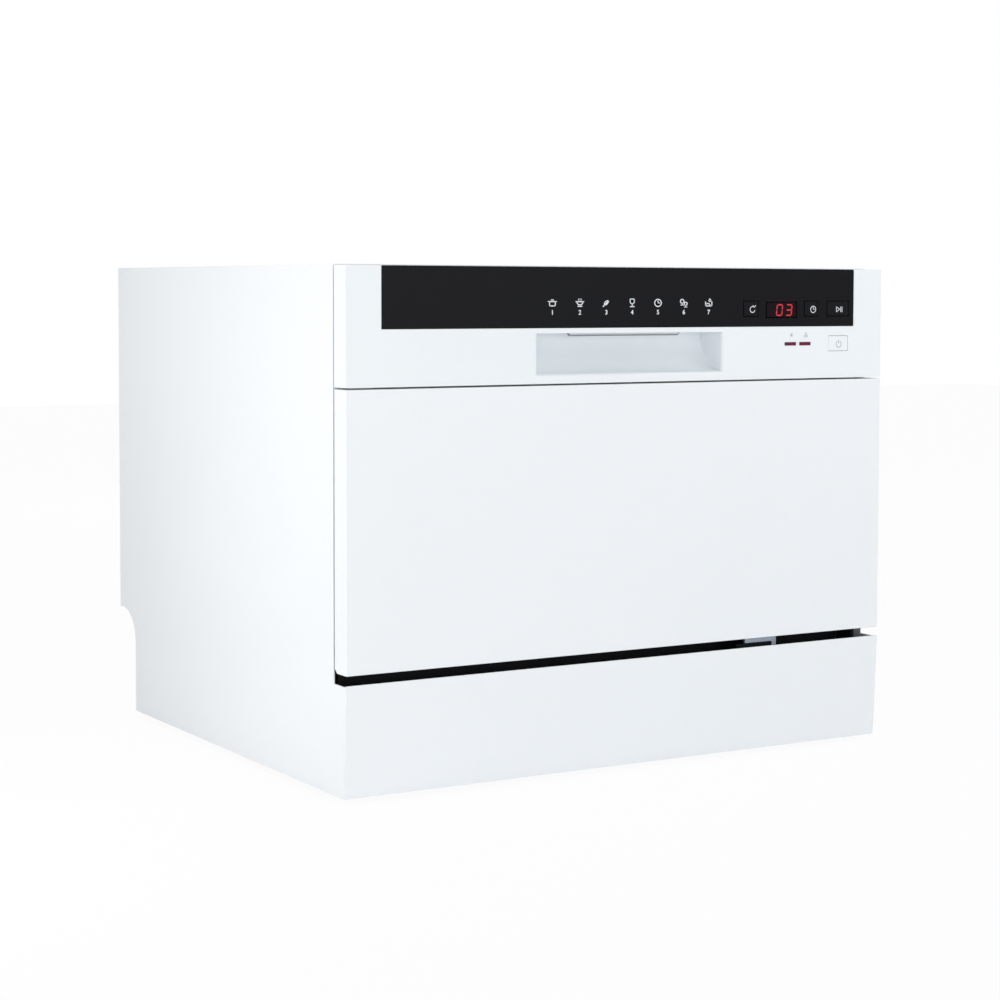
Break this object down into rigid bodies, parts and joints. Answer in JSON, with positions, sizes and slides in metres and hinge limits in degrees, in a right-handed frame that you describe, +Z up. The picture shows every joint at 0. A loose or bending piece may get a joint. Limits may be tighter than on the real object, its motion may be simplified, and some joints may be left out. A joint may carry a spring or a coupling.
{
  "type": "countertop dishwasher",
  "caption": "White countertop dishwasher with a drop-down door, finger recess, sliding wire rack, cutlery basket and spray arm",
  "frame": {"origin": "bottom centre of the machine, on the surface it stands on", "axes": "+Z up, +X to the right seen from the front, the door faces -Y"},
  "size_m": [0.55, 0.5, 0.438],
  "materials": {
    "white_paint": "smooth satin white powder coat",
    "white_plastic": "fine satin moulded plastic",
    "black_gloss": "smooth gloss black strip",
    "black_plastic": "matt black plastic",
    "red_window": "dark red window",
    "stainless": "brushed stainless sheet",
    "zinc_steel": "zinc plated steel",
    "light_grey_plastic": "light grey moulded plastic",
    "grey_plastic": "mid grey moulded plastic",
    "dark_plastic": "dark glass-filled plastic",
    "rubber": "matt black rubber",
    "grey_rubber": "matt grey rubber",
    "rack_coat": "grey-blue plastic coated wire",
    "board_green": "green circuit board",
    "white_moulding": "plain natural white plastic",
    "float_white": "foam float"
  },
  "bodies": {
    "cabinet": {"base_tray": "dark_plastic", "rubber_feet": "rubber", "kick_plate": "white_paint", "kick_bracket": "light_grey_plastic", "side_panel_left": "white_paint", "side_panel_right": "white_paint", "top_cover": "white_paint", "rear_panel": "zinc_steel", "recess_panel": "zinc_steel", "tub_wrapper": "stainless", "tub_back": "stainless", "tub_floor": "stainless", "door_gasket": "grey_rubber", "rack_rails": "grey_plastic", "sump": "dark_plastic", "filter_plate": "stainless", "wash_pump": "dark_plastic", "drain_pump": "dark_plastic", "heater": "stainless", "water_softener": "white_moulding", "inlet_valve": "white_moulding", "drain_connector": "grey_plastic", "cable_gland": "black_plastic", "air_breather": "white_moulding", "float_switch": "float_white", "door_catch": "zinc_steel", "hinge_brackets": "zinc_steel", "inner_hoses": "rubber", "cabinet_screws": "zinc_steel"},
    "door": {"outer_door_panel": "white_paint", "control_panel": "white_plastic", "fascia_strip": "black_gloss", "display_window": "red_window", "indicator_lenses": "red_window", "inner_door_panel": "stainless", "hinge_arms": "zinc_steel", "detergent_dispenser": "light_grey_plastic", "control_board": "board_green", "latch_housing": "black_plastic", "bottom_seal": "grey_rubber", "door_screws": "zinc_steel"},
    "program_button": {"program_button": "black_plastic"},
    "delay_button": {"delay_button": "black_plastic"},
    "start_button": {"start_button": "black_plastic"},
    "power_button": {"power_button": "white_plastic"},
    "handle_lever": {"handle_lever": "white_plastic"},
    "latch_hook": {"latch_hook": "dark_plastic"},
    "dispenser_lid": {"dispenser_lid": "grey_plastic"},
    "rinse_aid_cap": {"rinse_aid_cap": "grey_plastic"},
    "spray_arm": {"spray_arm": "light_grey_plastic"},
    "filter_cup": {"filter_cup": "grey_plastic"},
    "salt_cap": {"salt_cap": "grey_plastic"},
    "rack": {"rack_floor": "rack_coat", "rack_walls": "rack_coat", "plate_tines": "rack_coat"},
    "front_wheels": {"front_wheels": "grey_plastic"},
    "rear_wheels": {"rear_wheels": "grey_plastic"},
    "cup_shelf": {"cup_shelf": "rack_coat"},
    "cutlery_basket": {"cutlery_basket": "light_grey_plastic"}
  },
  "joints": [
    {"name": "door_hinge", "type": "hinge", "parent": "cabinet", "child": "door", "pos_m": [0, -0.236, 0.114], "axis": [1, 0, 0], "range_deg": [0, 90]},
    {"name": "program_press", "type": "slide", "parent": "door", "child": "program_button", "axis": [0, 1, 0], "range_m": [0, 0.0015], "stiffness_N_per_m": 300},
    {"name": "delay_press", "type": "slide", "parent": "door", "child": "delay_button", "axis": [0, 1, 0], "range_m": [0, 0.0015], "stiffness_N_per_m": 300},
    {"name": "start_press", "type": "slide", "parent": "door", "child": "start_button", "axis": [0, 1, 0], "range_m": [0, 0.0015], "stiffness_N_per_m": 300},
    {"name": "power_press", "type": "slide", "parent": "door", "child": "power_button", "axis": [0, 1, 0], "range_m": [0, 0.0015], "stiffness_N_per_m": 300},
    {"name": "handle_pull", "type": "hinge", "parent": "door", "child": "handle_lever", "pos_m": [0, -0.241, 0.396], "axis": [-1, 0, 0], "range_deg": [0, 10], "stiffness_Nm_per_rad": 0.6},
    {"name": "latch_turn", "type": "hinge", "parent": "door", "child": "latch_hook", "pos_m": [0, -0.232, 0.422], "axis": [1, 0, 0], "range_deg": [0, 8.5]},
    {"name": "lid_slide", "type": "slide", "parent": "door", "child": "dispenser_lid", "axis": [0, 0, 1], "range_m": [0, 0.058]},
    {"name": "rinse_cap_turn", "type": "hinge", "parent": "door", "child": "rinse_aid_cap", "pos_m": [0.038, -0.2045, 0.233], "axis": [0, 1, 0], "range_deg": [0, 90]},
    {"name": "arm_spin", "type": "hinge", "parent": "cabinet", "child": "spray_arm", "pos_m": [0, -0.0055, 0.132], "axis": [0, 0, 1], "continuous": true},
    {"name": "filter_turn", "type": "hinge", "parent": "cabinet", "child": "filter_cup", "pos_m": [0.05, -0.0055, 0.116], "axis": [0, 0, 1], "range_deg": [0, 80]},
    {"name": "salt_cap_turn", "type": "hinge", "parent": "cabinet", "child": "salt_cap", "pos_m": [-0.165, -0.1105, 0.116], "axis": [0, 0, 1], "range_deg": [0, 270]},
    {"name": "rack_slide", "type": "slide", "parent": "cabinet", "child": "rack", "axis": [0, -1, 0], "range_m": [0, 0.3]},
    {"name": "front_wheel_roll", "type": "hinge", "parent": "rack", "child": "front_wheels", "pos_m": [0, -0.1, 0.155], "axis": [1, 0, 0], "continuous": true},
    {"name": "rear_wheel_roll", "type": "hinge", "parent": "rack", "child": "rear_wheels", "pos_m": [0, 0.12, 0.155], "axis": [1, 0, 0], "continuous": true},
    {"name": "cup_shelf_fold", "type": "hinge", "parent": "rack", "child": "cup_shelf", "pos_m": [-0.22858, -0.146, 0.253], "axis": [0, -1, 0], "range_deg": [0, 70]},
    {"name": "basket_lift", "type": "slide", "parent": "rack", "child": "cutlery_basket", "axis": [0, 0, 1], "range_m": [0, 0.112]}
  ],
  "couplings": [
    {"joint": "latch_turn", "follows": "handle_pull", "ratio": 0.8},
    {"joint": "rack_slide", "follows": "door_hinge", "m_per_rad": 0.0636},
    {"joint": "front_wheel_roll", "follows": "door_hinge", "ratio": 5.7818},
    {"joint": "rear_wheel_roll", "follows": "door_hinge", "ratio": 5.7818}
  ]
}
